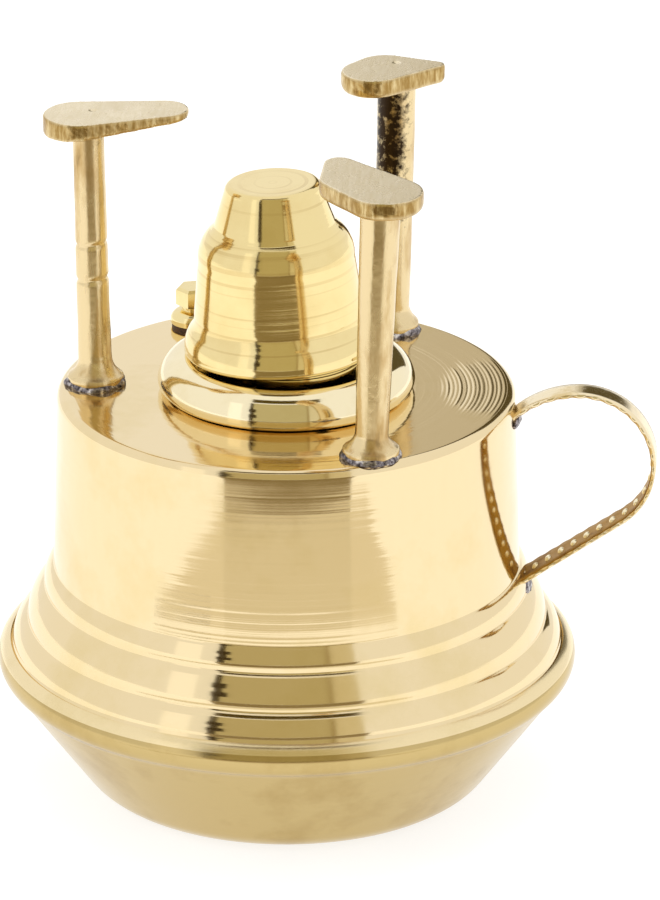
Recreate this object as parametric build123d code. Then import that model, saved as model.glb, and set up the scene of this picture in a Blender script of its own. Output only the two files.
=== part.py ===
from build123d import *
import math
import os

# Brass spirit burner of the kind used to brew a small pot of coffee.
# Millimetres, +Z up. The origin is the middle of the flat base, on the axis of the spun tank.
# The carrying handle points along +X. Angles are degrees from +X towards +Y.

# --- sheet and overall sizes -------------------------------------------------------------
SHEET = 0.8                 # brass sheet of the tank
RIM_R = 50.0                # widest radius, at the folded rim
RIM_Z = 24.0                # height of the folded rim
TOP_Z = 72.4                # top face of the tank
HEAD_Z = 121.7              # face that the pot rests on

# --- base pan ----------------------------------------------------------------------------
BASE_R = 28.5               # flat that the burner stands on
BASE_FILLET = 9.0
CONE_TILT = 53.5            # slope of the pan's wall above the floor
CONE_TOP_Z = 20.7
LIP_R = 48.6                # edge of the fold over the shell's flange
LIP_Z = 26.75

# --- tank shell --------------------------------------------------------------------------
FLAT_R = 37.9               # flat part of the top
SHOULDER_R = 39.4           # wall just under the shoulder
SHOULDER_DROP = 1.5
WALL_FOOT = (40.3, 40.9)    # foot of the wall, radius and height
BEADS = [(41.9, 36.8, 0.55), (44.9, 30.8, 0.8), (47.5, 26.9, 0.6)]   # lower edge and bulge
FLANGE = [(48.45, 25.1), (48.5, 23.4)]
BURNER_HOLE_R = 9.4

# --- burner ------------------------------------------------------------------------------
COLLAR_FOOT_R = 20.6
COLLAR_R = 22.1
COLLAR_MID_Z = TOP_Z + 2.1
COLLAR_TOP_R = 17.4
COLLAR_TOP_Z = 78.7
COLLAR_SEAT_Z = 76.0
COLLAR_SEAT_R = 13.05
COLLAR_BORE_R = 9.2
HOLDER_FLANGE_R = 13.0
HOLDER_SPIGOT_R = 9.1
HOLDER_TOP_Z = 80.2
HOLDER_FOOT_Z = 66.0
WICK_TUBE_R = 5.3
WICK_TUBE_Z = 91.0
WICK_BORE_R = 4.1
WICK_R = 4.03
WICK_FOOT_Z = 8.0
WICK_TOP_Z = 93.5
WICK_ROUND = 1.0
HOLDER_EDGE = 0.6           # turned-off edges of the holder's flange and its tube
TUBE_EDGE = 0.4
VENT_DEPTH = 12
VENT_R = 0.9
VENT_ANGLES = (80, 260)

# --- snuffer cap, sizes in its own upright frame from the rim upward ------------------------
CAP_SHEET = 0.9
CAP_RIM_R = 16.5
CAP_HEIGHT = 30.1
CAP_TOP_R = 8.0
CAP_SHIFT = (-1.0, 0.3)     # the cap sits loose on the collar, off centre
CAP_LEAN = 2.6              # and leans back to one side
CAP_LEAN_WAY = 165.0
CAP_RIM_Z = COLLAR_TOP_Z + 0.06 + CAP_RIM_R * math.sin(math.radians(CAP_LEAN))

# --- pot supports, set by hand and a little out of true ---------------------------------------
# foot's angle and radius, lean of the rod's top, head's shift from it, rod radius low and high
SUPPORTS = {
    "left": (-179.0, 32.9, (-1.0, 0.8), (1.0, 0.1), 2.85, 2.6),
    "front": (-60.2, 34.6, (1.7, -0.9), (-0.5, 0.0), 2.7, 3.4),
    "back": (62.2, 33.3, (1.0, -0.4), (-0.2, 0.0), 3.1, 3.3),
}
HEAD_TURN = 5.5             # the heads were filed to shape, then turned this far on soldering
# rounded lobes of each head, from the rod's own axis: centre and radius
HEADS = {
    "left": [((-2.2, -1.6), 6.0), ((11.8, 0.8), 4.0)],
    "front": [((1.0, -3.3), 6.3), ((-5.6, 2.0), 4.0), ((-6.3, 9.6), 2.5)],
    "back": [((-3.9, -3.9), 5.2), ((-1.8, -1.2), 5.0), ((6.5, -0.7), 1.4)],
}
HEAD_THICK = {"left": 3.1, "front": 2.8, "back": 3.0}
LEFT_TIP_THICK = 0.8
HEAD_ROUND = 1.0            # rounded lower edge; the filed left head has none
HEAD_CHAMFER = 0.25
DIMPLED = ("left", "back")  # heads that keep the lathe centre's mark
DIMPLE_R = 0.8
DIMPLE_DEPTH = 0.6
DIMPLE_POINT_R = 0.05
NECK_FLARE = 0.8
NECK_BURY = 0.4             # the neck starts this far inside the rod
ROD_INSET = 1.3             # the rod runs up into its head to this far below the top
FOOT_R = 4.8
FOOT_EDGE = 1.0
FOOT_FLARE = 4.6
SOLDER_STEP = 0.5           # the foot stands on this much solder
SOLDER_R = 5.3
SOLDER_FIT = 0.02           # clearance of the solder round the foot
SOLDER_HEIGHT = 0.95

# --- handle, outer face in the XZ plane ----------------------------------------------------
STRAP = 0.8
STRAP_TOP_W = 5.4
STRAP_LOW_W = 7.6
HANDLE_TOP = (38.7, 68.9)
HANDLE_CREST = (50.8, 73.85)
HANDLE_OUT = (63.8, 60.8)
HANDLE_BEND = (58.4, 50.4)
HANDLE_LOW = (39.6, 37.5)

# --- filler --------------------------------------------------------------------------------
FILLER_ANGLE = 123.9
FILLER_R = 33.8
THREAD_R = 2.0
THREAD_PITCH = 1.0
THREAD_DEPTH = 0.45
THREAD_GAP = 0.08
SHANK_LENGTH = 5.6
BUSH_R = 3.0
BUSH_SEAT_R = 3.95
BUSH_FOOT_Z = 66.6
BUSH_FIT = 0.02             # clearance of the bush in its hole
WASHER_R = 3.9
WASHER_THICK = 0.7
PLUG_FLANGE_R = 4.1
PLUG_NECK_R = 2.1
HEX_FLATS = 5.6
HEX_FOOT_Z = 76.4
HEX_TOP_Z = 79.7
HEX_TURN = 16.9


STAND = (Align.CENTER, Align.CENTER, Align.MIN)
HANG = (Align.CENTER, Align.CENTER, Align.MAX)


def polar(radius, angle):
    """A point on the plan, from the tank's axis."""
    turn = math.radians(angle)
    return radius * math.cos(turn), radius * math.sin(turn)


def turned(profile):
    """A solid of revolution from a closed face drawn as radius and height."""
    return revolve(Plane.XZ * make_face(profile), Axis.Z)


def spun(outline, thickness, side):
    """A spun sheet whose outer face follows the outline, with the metal to one side of it."""
    return turned(offset(outline, amount=thickness, side=side))


def shell_outline():
    """Outer face of the tank shell from the burner hole to the flange."""
    top = Line((BURNER_HOLE_R, TOP_Z), (FLAT_R, TOP_Z))
    shoulder = TangentArc(top @ 1, (SHOULDER_R, TOP_Z - SHOULDER_DROP), tangent=top % 1)
    outline = top + shoulder + Line(shoulder @ 1, WALL_FOOT)
    start = WALL_FOOT
    for radius, height, bulge in BEADS:
        outline += SagittaArc(start, (radius, height), -bulge)
        start = (radius, height)
    return outline + Polyline(start, *FLANGE)


def tank_shell():
    """Upper shell: flat top, straight wall, three beads and a flange for the fold."""
    shell = spun(shell_outline(), SHEET, Side.RIGHT)
    x, y = polar(FILLER_R, FILLER_ANGLE)
    return shell - Pos(x, y, TOP_Z) * Cylinder(BUSH_R + BUSH_FIT, 4 * SHEET)


def base_pan():
    """Lower pan: flat base, cone, and a rim folded over the shell's flange."""
    base = Line((0, 0), (BASE_R, 0))
    slope = math.radians(CONE_TILT)
    corner = CenterArc((BASE_R, BASE_FILLET), BASE_FILLET, -90, CONE_TILT)
    start = corner @ 1
    rise = CONE_TOP_Z - start.Y
    cone_top = (start.X + rise / math.tan(slope), CONE_TOP_Z)
    fold = ThreePointArc(cone_top, (RIM_R, RIM_Z), (LIP_R, LIP_Z))
    outline = base + corner + Line(start, cone_top) + fold
    return spun(outline, SHEET, Side.LEFT)


def burner_collar():
    """Cushion moulding round the burner, with a seat for the wick holder."""
    foot = Line((COLLAR_BORE_R, TOP_Z), (COLLAR_FOOT_R, TOP_Z))
    under = ThreePointArc(foot @ 1, (COLLAR_R - 0.45, TOP_Z + 0.7), (COLLAR_R, COLLAR_MID_Z))
    over = ThreePointArc(under @ 1, (20.75, 77.25), (COLLAR_TOP_R, COLLAR_TOP_Z))
    bore = Polyline(
        over @ 1,
        (COLLAR_SEAT_R, COLLAR_TOP_Z),
        (COLLAR_SEAT_R, COLLAR_SEAT_Z),
        (COLLAR_BORE_R, COLLAR_SEAT_Z),
        foot @ 0,
    )
    return turned(foot + under + over + bore)


def wick_holder():
    """Turned holder: a flange in the collar, a spigot into the tank and the wick tube."""
    outline = Polyline(
        (WICK_BORE_R, HOLDER_FOOT_Z),
        (HOLDER_SPIGOT_R, HOLDER_FOOT_Z),
        (HOLDER_SPIGOT_R, COLLAR_SEAT_Z),
        (HOLDER_FLANGE_R, COLLAR_SEAT_Z),
        (HOLDER_FLANGE_R, HOLDER_TOP_Z - HOLDER_EDGE),
        (HOLDER_FLANGE_R - HOLDER_EDGE, HOLDER_TOP_Z),
        (WICK_TUBE_R, HOLDER_TOP_Z),
        (WICK_TUBE_R, WICK_TUBE_Z - TUBE_EDGE),
        (WICK_TUBE_R - TUBE_EDGE, WICK_TUBE_Z),
        (WICK_BORE_R, WICK_TUBE_Z),
        close=True,
    )
    holder = turned(outline)
    hollow = Pos(0, 0, HOLDER_FOOT_Z) * Cylinder(
        HOLDER_SPIGOT_R - SHEET, COLLAR_SEAT_Z - HOLDER_FOOT_Z,
        align=STAND,
    )
    stem = Pos(0, 0, HOLDER_FOOT_Z) * Cylinder(
        WICK_TUBE_R, COLLAR_SEAT_Z - HOLDER_FOOT_Z,
        align=STAND,
    )
    holder -= hollow - stem
    for angle in VENT_ANGLES:
        x, y = polar((HOLDER_SPIGOT_R + WICK_TUBE_R) / 2, angle)
        holder -= Pos(x, y, HOLDER_TOP_Z) * Cylinder(VENT_R, VENT_DEPTH)
    return holder


def wick():
    """Cotton wick that hangs into the tank and stands just proud of its tube."""
    length = WICK_TOP_Z - WICK_FOOT_Z
    rope = Pos(0, 0, WICK_FOOT_Z) * Cylinder(
        WICK_R, length, align=STAND
    )
    return fillet(rope.edges().filter_by(GeomType.CIRCLE).sort_by(Axis.Z)[-1], WICK_ROUND)


def snuffer_cap():
    """Bell-shaped cap that covers the wick: flared rim, waisted shoulder and a flat top."""
    lip = ThreePointArc((15.9, 0), (CAP_RIM_R - 0.08, 0.35), (CAP_RIM_R, 1.0))
    band = ThreePointArc(lip @ 1, (16.2, 2.9), (15.2, 4.8))
    waist = TangentArc(band @ 1, (14.55, 7.0), tangent=band % 1)
    wall = Line(waist @ 1, (13.45, 16.6))
    shoulder = ThreePointArc(wall @ 1, (12.75, 20.0), (11.0, 22.2))
    step = Line(shoulder @ 1, (10.35, 23.0))
    neck = Line(step @ 1, (CAP_TOP_R + 0.35, CAP_HEIGHT - 1.0))
    edge = ThreePointArc(neck @ 1, (CAP_TOP_R, CAP_HEIGHT - 0.3), (CAP_TOP_R - 0.7, CAP_HEIGHT))
    top = Line(edge @ 1, (0, CAP_HEIGHT))
    outline = lip + band + waist + wall + shoulder + step + neck + edge + top
    cap = spun(outline, CAP_SHEET, Side.LEFT)
    lean_axis = Axis((0, 0, 0), (*polar(1, CAP_LEAN_WAY + 90), 0))
    return Pos(*CAP_SHIFT, CAP_RIM_Z) * cap.rotate(lean_axis, CAP_LEAN)


def support_rod(name):
    """Round rod from the foot to the head, leaning a little, and its trumpet foot."""
    angle, radius, lean, _, foot_r, head_r = SUPPORTS[name]
    x, y = polar(radius, angle)
    foot_z = TOP_Z + SOLDER_STEP
    head_z = HEAD_Z - ROD_INSET
    low = Plane((x, y, foot_z)) * Circle(foot_r)
    high = Plane((x + lean[0], y + lean[1], head_z)) * Circle(head_r)
    rod = loft([low, high])
    rise = FOOT_FLARE - FOOT_EDGE
    edge = Polyline((0, FOOT_FLARE), (0, 0), (FOOT_R, 0), (FOOT_R, FOOT_EDGE))
    bend = ThreePointArc(edge @ 1, (foot_r + 0.75, FOOT_EDGE + 0.3 * rise), (foot_r - 0.05, FOOT_FLARE))
    foot = turned(edge + bend + Line(bend @ 1, edge @ 0))
    return rod + Pos(x, y, foot_z) * foot


def support_head(name):
    """Flat head that the pot rests on, rounded below, with the lathe centre's dimple."""
    angle, radius, lean, shift, _, head_r = SUPPORTS[name]
    thick = HEAD_THICK[name]
    rings = [Pos(*centre) * Edge.make_circle(size) for centre, size in HEADS[name]]
    plate = extrude(make_face(make_hull(rings)), amount=-thick)
    if name == "left":
        (tip_x, _), tip_r = HEADS[name][-1]
        reach = tip_x + tip_r
        below = Polyline((-reach, -thick - 0.6), (reach, -LEFT_TIP_THICK), (reach, -2 * thick),
                         (-reach, -2 * thick), close=True)
        plate -= extrude(Plane.XZ * make_face(below), amount=reach, both=True)
    else:
        plate = fillet(plate.faces().sort_by(Axis.Z)[0].edges(), HEAD_ROUND)
    plate = chamfer(plate.edges().group_by(Axis.Z)[-1], HEAD_CHAMFER)
    if name in DIMPLED:
        plate -= Cone(DIMPLE_POINT_R, DIMPLE_R, DIMPLE_DEPTH, align=HANG)
    x, y = polar(radius, angle)
    x += lean[0]
    y += lean[1]
    neck_r = head_r + NECK_FLARE
    neck_rise = NECK_FLARE + NECK_BURY
    neck = Pos(x, y, HEAD_Z - thick) * Cone(head_r - NECK_BURY, neck_r, neck_rise, align=HANG)
    neck += Pos(x, y, HEAD_Z - thick) * Cylinder(neck_r, thick - ROD_INSET, align=STAND)
    return neck + Pos(x + shift[0], y + shift[1], HEAD_Z) * Rot(0, 0, HEAD_TURN) * plate


def pot_support(name):
    """One casting: foot, rod and head."""
    return support_rod(name) + support_head(name)


def support_solder(name):
    """Ring of solder that the foot stands in."""
    angle, radius = SUPPORTS[name][:2]
    x, y = polar(radius, angle)
    inside = Line((0, 0), (SOLDER_R, 0))
    rim = (FOOT_R + SOLDER_FIT, SOLDER_HEIGHT)
    bank = ThreePointArc(inside @ 1, (SOLDER_R - 0.1, SOLDER_HEIGHT / 2), rim)
    seat = Polyline(bank @ 1, (FOOT_R + SOLDER_FIT, SOLDER_STEP), (0, SOLDER_STEP), (0, 0))
    return Pos(x, y, TOP_Z) * turned(inside + bank + seat)


def tank_filled():
    """The tank's outside as a solid, to trim what is soldered to it."""
    outline = shell_outline()
    close_up = Polyline(outline @ 1, (0, FLANGE[-1][1]), (0, TOP_Z), (BURNER_HOLE_R, TOP_Z))
    return turned(outline + close_up)


def handle_strap():
    """Strap bent into a pear-shaped loop, wider towards its lower end."""
    rise = TangentArc(HANDLE_CREST, HANDLE_TOP, tangent=(-1, 0))
    over = TangentArc(HANDLE_CREST, HANDLE_OUT, tangent=(1, 0))
    down = TangentArc(over @ 1, HANDLE_BEND, tangent=over % 1)
    outline = rise + over + down + Line(down @ 1, HANDLE_LOW)
    loop = extrude(Plane.XZ * make_face(offset(outline, amount=STRAP, side=Side.LEFT)),
                   amount=STRAP_LOW_W, both=True)
    high, low = HANDLE_CREST[1] + 1, HANDLE_LOW[1] - 2
    sides = Polyline((-STRAP_TOP_W / 2, high), (STRAP_TOP_W / 2, high), (STRAP_LOW_W / 2, low),
                     (-STRAP_LOW_W / 2, low), close=True)
    strap = loop & extrude(Plane.YZ * make_face(sides), amount=RIM_R * 2)
    return strap - tank_filled()


def handle_solder(centre, size, turn):
    """A smear of solder where an end of the strap meets the wall."""
    x, z = centre
    blob = scale(Sphere(1), by=size)
    blob = Pos(x, 0, z) * Rot(0, turn, 0) * blob
    return blob - handle_strap() - tank_filled()


def filler_place():
    x, y = polar(FILLER_R, FILLER_ANGLE)
    return Pos(x, y, 0)


def filler_bush():
    """Threaded bush soldered into the top."""
    outline = Polyline(
        (THREAD_R + THREAD_GAP, BUSH_FOOT_Z),
        (BUSH_SEAT_R, BUSH_FOOT_Z),
        (BUSH_SEAT_R, TOP_Z - SHEET),
        (BUSH_R, TOP_Z - SHEET),
        (BUSH_R, TOP_Z),
        (THREAD_R + THREAD_GAP, TOP_Z),
        close=True,
    )
    return filler_place() * turned(outline)


def filler_washer():
    """Soft washer that seals the plug."""
    ring = Cylinder(WASHER_R, WASHER_THICK, align=STAND)
    ring -= Cylinder(THREAD_R + THREAD_GAP, 4 * WASHER_THICK)
    return filler_place() * Pos(0, 0, TOP_Z) * ring


def filler_plug():
    """Screw plug: threaded shank, domed flange, short neck and a hexagon head."""
    seat = TOP_Z + WASHER_THICK
    foot = seat - SHANK_LENGTH
    core = THREAD_R - THREAD_DEPTH
    shank = Polyline((0, seat), (0, foot), (core - 0.3, foot), (core, foot + 0.3), (core, seat))
    flange = Polyline(shank @ 1, (PLUG_FLANGE_R, seat), (PLUG_FLANGE_R, seat + 1.0))
    dome = ThreePointArc(flange @ 1, (3.5, seat + 1.9), (PLUG_NECK_R, seat + 2.4))
    neck = Polyline(dome @ 1, (PLUG_NECK_R, HEX_FOOT_Z + 0.2), (0, HEX_FOOT_Z + 0.2), (0, seat))
    plug = turned(shank + flange + dome + neck)
    for turn in range(int((SHANK_LENGTH - 0.8) / THREAD_PITCH)):
        crest = foot + 0.8 + turn * THREAD_PITCH
        ridge = Polyline((core - 0.1, crest - 0.42), (THREAD_R, crest - 0.08), (THREAD_R, crest + 0.08),
                         (core - 0.1, crest + 0.42), close=True)
        plug += turned(ridge)
    hexagon = RegularPolygon(HEX_FLATS / 2, 6, major_radius=False, rotation=HEX_TURN)
    head = Pos(0, 0, HEX_FOOT_Z) * extrude(hexagon, amount=HEX_TOP_Z - HEX_FOOT_Z)
    crown = Pos(0, 0, HEX_FOOT_Z - 1) * Cone(
        HEX_FLATS / 2 + 4.3, HEX_FLATS / 2 - 0.1, HEX_TOP_Z - HEX_FOOT_Z + 1,
        align=STAND,
    )
    return filler_place() * (plug + (head & crown))


def main():
    os.makedirs("parts", exist_ok=True)
    pieces = {
        "tank_shell": tank_shell(),
        "base_pan": base_pan(),
        "burner_collar": burner_collar(),
        "wick_holder": wick_holder(),
        "wick": wick(),
        "snuffer_cap": snuffer_cap(),
        "handle_strap": handle_strap(),
        "handle_solder_top": handle_solder((HANDLE_TOP[0] + 0.2, HANDLE_TOP[1] - 1), (1.5, 3.3, 1.5), 0),
        "handle_solder_low": handle_solder((HANDLE_LOW[0] + 0.6, HANDLE_LOW[1] + 0.5), (1.8, 4.4, 3.2), -30),
        "filler_bush": filler_bush(),
        "filler_washer": filler_washer(),
        "filler_plug": filler_plug(),
    }
    for name in SUPPORTS:
        pieces["pot_support_" + name] = pot_support(name)
        pieces["solder_ring_" + name] = support_solder(name)
    for name, piece in pieces.items():
        export_step(piece, "parts/" + name + ".step")
        print(name, round(piece.volume, 1), "mm3", piece.is_valid)


main()
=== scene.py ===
import math

import bmesh
import bpy
from mathutils import Matrix, Vector, noise


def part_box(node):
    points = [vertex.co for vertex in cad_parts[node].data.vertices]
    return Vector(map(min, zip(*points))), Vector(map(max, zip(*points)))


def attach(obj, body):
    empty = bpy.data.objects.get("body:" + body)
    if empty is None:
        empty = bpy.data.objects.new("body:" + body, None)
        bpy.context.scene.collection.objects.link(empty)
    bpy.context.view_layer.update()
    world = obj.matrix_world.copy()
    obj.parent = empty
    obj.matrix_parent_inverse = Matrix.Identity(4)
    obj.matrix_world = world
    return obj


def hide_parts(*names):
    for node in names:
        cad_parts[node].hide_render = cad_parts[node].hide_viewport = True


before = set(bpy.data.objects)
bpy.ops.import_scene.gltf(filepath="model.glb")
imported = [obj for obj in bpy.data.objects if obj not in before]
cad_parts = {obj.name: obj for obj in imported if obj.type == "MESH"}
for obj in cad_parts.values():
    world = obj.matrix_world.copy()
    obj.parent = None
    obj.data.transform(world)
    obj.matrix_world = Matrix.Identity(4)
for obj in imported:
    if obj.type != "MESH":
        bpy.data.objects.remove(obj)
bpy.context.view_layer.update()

# Looks of a brass spirit burner. Lengths below are millimetres; meshes are written in metres.
MM = 0.001


def middle(node):
    """Middle of a CAD node's box, in millimetres."""
    low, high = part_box(node)
    return (low + high) / 2 / MM


def top_of(node):
    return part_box(node)[1].z / MM


# --- sizes of the tank, as it was drawn --------------------------------------------------
SHEET = 0.8
RIM_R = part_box("base_pan")[1].x / MM
RIM_Z = 24.0
TOP_Z = top_of("tank_shell")
HEAD_Z = top_of("pot_support_left")
COLLAR_TOP_Z = top_of("burner_collar")
FLANGE_FOOT_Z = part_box("tank_shell")[0].z / MM


# --- lines and curves of an outline -------------------------------------------------------
def bow(start, via, end, steps):
    """Points along the circle through three points, start left out."""
    (ax, ay), (bx, by), (cx, cy) = start, via, end
    d = 2 * (ax * (by - cy) + bx * (cy - ay) + cx * (ay - by))
    a2, b2, c2 = ax * ax + ay * ay, bx * bx + by * by, cx * cx + cy * cy
    ux = (a2 * (by - cy) + b2 * (cy - ay) + c2 * (ay - by)) / d
    uy = (a2 * (cx - bx) + b2 * (ax - cx) + c2 * (bx - ax)) / d
    radius = math.hypot(ax - ux, ay - uy)
    first = math.atan2(ay - uy, ax - ux)
    turn = (math.atan2(cy - uy, cx - ux) - first) % math.tau
    if (math.atan2(by - uy, bx - ux) - first) % math.tau > turn:
        turn -= math.tau
    return [(ux + radius * math.cos(first + turn * i / steps),
             uy + radius * math.sin(first + turn * i / steps)) for i in range(1, steps + 1)]


def swept(start, end, tangent, steps):
    """Points along the circle that leaves start along a tangent, and the tangent at its end."""
    s, e, t = Vector(start), Vector(end), Vector(tangent).normalized()
    chord = e - s
    side = Vector((-t.y, t.x))
    unit = chord.normalized()
    leaving = 2 * t.dot(unit) * unit - t
    across = 2 * chord.dot(side)
    if abs(across) < 1e-6:
        return line(start, end, steps), tuple(leaving)
    centre = s + side * chord.length_squared / across
    out = ((s + e) / 2 - centre)
    size = (s - centre).length
    far = centre + (out.normalized() if out.length > 1e-6 else t) * size
    return bow(start, tuple(far), end, steps), tuple(leaving)


def bulged(start, end, height, steps):
    """Points along an arc that stands out from its chord by a height."""
    s, e = Vector(start), Vector(end)
    chord = (e - s).normalized()
    via = (s + e) / 2 + Vector((-chord.y, chord.x)) * height
    return bow(start, tuple(via), end, steps)


def line(start, end, steps):
    return [(start[0] + (end[0] - start[0]) * i / steps,
             start[1] + (end[1] - start[1]) * i / steps) for i in range(1, steps + 1)]


def softened(points, reach, sharp=9.0):
    """The outline with each corner eased over a short reach, as spinning leaves it."""
    out = [points[0]]
    for before, here, after in zip(points, points[1:], points[2:]):
        a, p, b = Vector(before), Vector(here), Vector(after)
        if (p - a).angle(b - p, 0) < math.radians(sharp):
            out.append(here)
            continue
        u = p + (a - p).normalized() * min(reach, (a - p).length * 0.45)
        v = p + (b - p).normalized() * min(reach, (b - p).length * 0.45)
        for i in range(6):
            k = i / 5
            out.append(tuple(u * (1 - k) ** 2 + p * 2 * k * (1 - k) + v * k * k))
    return out + [points[-1]]


def sheet_section(outline, thickness):
    """Closed section of a sheet whose outer face is the outline, metal on its right-hand side."""
    inner = []
    for i, here in enumerate(outline):
        a = Vector(outline[max(i - 1, 0)])
        b = Vector(outline[min(i + 1, len(outline) - 1)])
        along = (b - a).normalized()
        p = Vector(here) + Vector((along.y, -along.x)) * thickness
        inner.append((max(p.x, 0.0), p.y))
    return outline + inner[::-1]


# --- meshes --------------------------------------------------------------------------------
def lathe(section, around=256, closed=True, wobble=0.0, seed=0.0):
    """A turned mesh. It keeps the distance along the section as the attribute 'turning'."""
    bm = bmesh.new()
    layer = bm.verts.layers.float.new("turning")
    travel, rings = 0.0, []
    for i, (radius, height) in enumerate(section):
        if i:
            travel += math.dist(section[i - 1], section[i])
        ring = []
        for k in range(around):
            a = math.tau * k / around
            r = radius
            if wobble and radius > 1:
                place = Vector((math.cos(a) * 2.4, math.sin(a) * 2.4, height * 0.11 + seed))
                r += wobble * noise.noise(place)
            v = bm.verts.new((r * math.cos(a) * MM, r * math.sin(a) * MM, height * MM))
            v[layer] = travel
            ring.append(v)
        rings.append(ring)
    pairs = list(zip(rings, rings[1:]))
    if closed:
        pairs.append((rings[-1], rings[0]))
    for low, high in pairs:
        if (low[0].co.xy.length < 1e-7) and (high[0].co.xy.length < 1e-7):
            continue
        for k in range(around):
            j = (k + 1) % around
            bm.faces.new((low[k], low[j], high[j], high[k]))
    bmesh.ops.remove_doubles(bm, verts=bm.verts, dist=1e-7)
    bmesh.ops.dissolve_degenerate(bm, edges=bm.edges, dist=1e-8)
    bmesh.ops.recalc_face_normals(bm, faces=bm.faces)
    return bm


def piece(name, bm, material, body, slot, *nodes, sharp=40.0, second=None):
    """Makes a finished piece of a bmesh: smooth faces, its finish, its body, what it replaces.
    Faces marked 1 wear the second finish."""
    mesh = bpy.data.meshes.new(name)
    bm.to_mesh(mesh)
    bm.free()
    return settled(name, mesh, material, body, slot, *nodes, sharp=sharp, second=second)


def settled(name, mesh, material, body, slot, *nodes, sharp=40.0, second=None):
    mesh.shade_smooth()
    mesh.set_sharp_from_angle(angle=math.radians(sharp))
    mesh.materials.append(material)
    if second:
        mesh.materials.append(second)
    made = bpy.data.objects.new(name, mesh)
    bpy.context.scene.collection.objects.link(made)
    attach(made, body)
    if nodes:
        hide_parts(*nodes)
    return made


def recast(node, voxel):
    """A merged, evenly meshed copy of a CAD node, ready to be worn and filed."""
    bm = bmesh.new()
    bm.from_mesh(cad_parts[node].data)
    bmesh.ops.remove_doubles(bm, verts=bm.verts, dist=2e-6)
    mesh = bpy.data.meshes.new(node + "_copy")
    bm.to_mesh(mesh)
    bm.free()
    holder = bpy.data.objects.new(node + "_copy", mesh)
    bpy.context.scene.collection.objects.link(holder)
    remesh = holder.modifiers.new("even", "REMESH")
    remesh.mode = "VOXEL"
    remesh.voxel_size = voxel * MM
    ease = holder.modifiers.new("ease", "SMOOTH")
    ease.factor = 0.5
    ease.iterations = 2
    graph = bpy.context.evaluated_depsgraph_get()
    even = bpy.data.meshes.new_from_object(holder.evaluated_get(graph))
    bpy.data.objects.remove(holder)
    out = bmesh.new()
    out.from_mesh(even)
    bpy.data.meshes.remove(even)
    out.normal_update()
    return out


# --- materials -----------------------------------------------------------------------------
def linear(code):
    """The linear colour of an sRGB hex value."""
    parts = [int(code[i:i + 2], 16) / 255 for i in (0, 2, 4)]
    return [v / 12.92 if v <= 0.04045 else ((v + 0.055) / 1.055) ** 2.4 for v in parts] + [1.0]


def put(tree, kind, settings=None, inputs=None):
    """Adds one node with its settings, values and links, and gives it back.
    The setting "stops" lists the places and hex colours along a node's colour ramp."""
    node = tree.nodes.new(kind)
    for key, value in (settings or {}).items():
        if key != "stops":
            setattr(node, key, value)
            continue
        marks = node.color_ramp.elements
        while len(marks) < len(value):
            marks.new(0.5)
        for mark, (place, code) in zip(marks, value):
            mark.position = place
            mark.color = linear(code)
    for key, value in (inputs or {}).items():
        if isinstance(value, bpy.types.NodeSocket):
            tree.links.new(value, node.inputs[key])
        else:
            node.inputs[key].default_value = value
    return node


def blank(name):
    material = bpy.data.materials.new(name)
    material.use_nodes = True
    material.node_tree.nodes.clear()
    return material, material.node_tree


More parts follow.
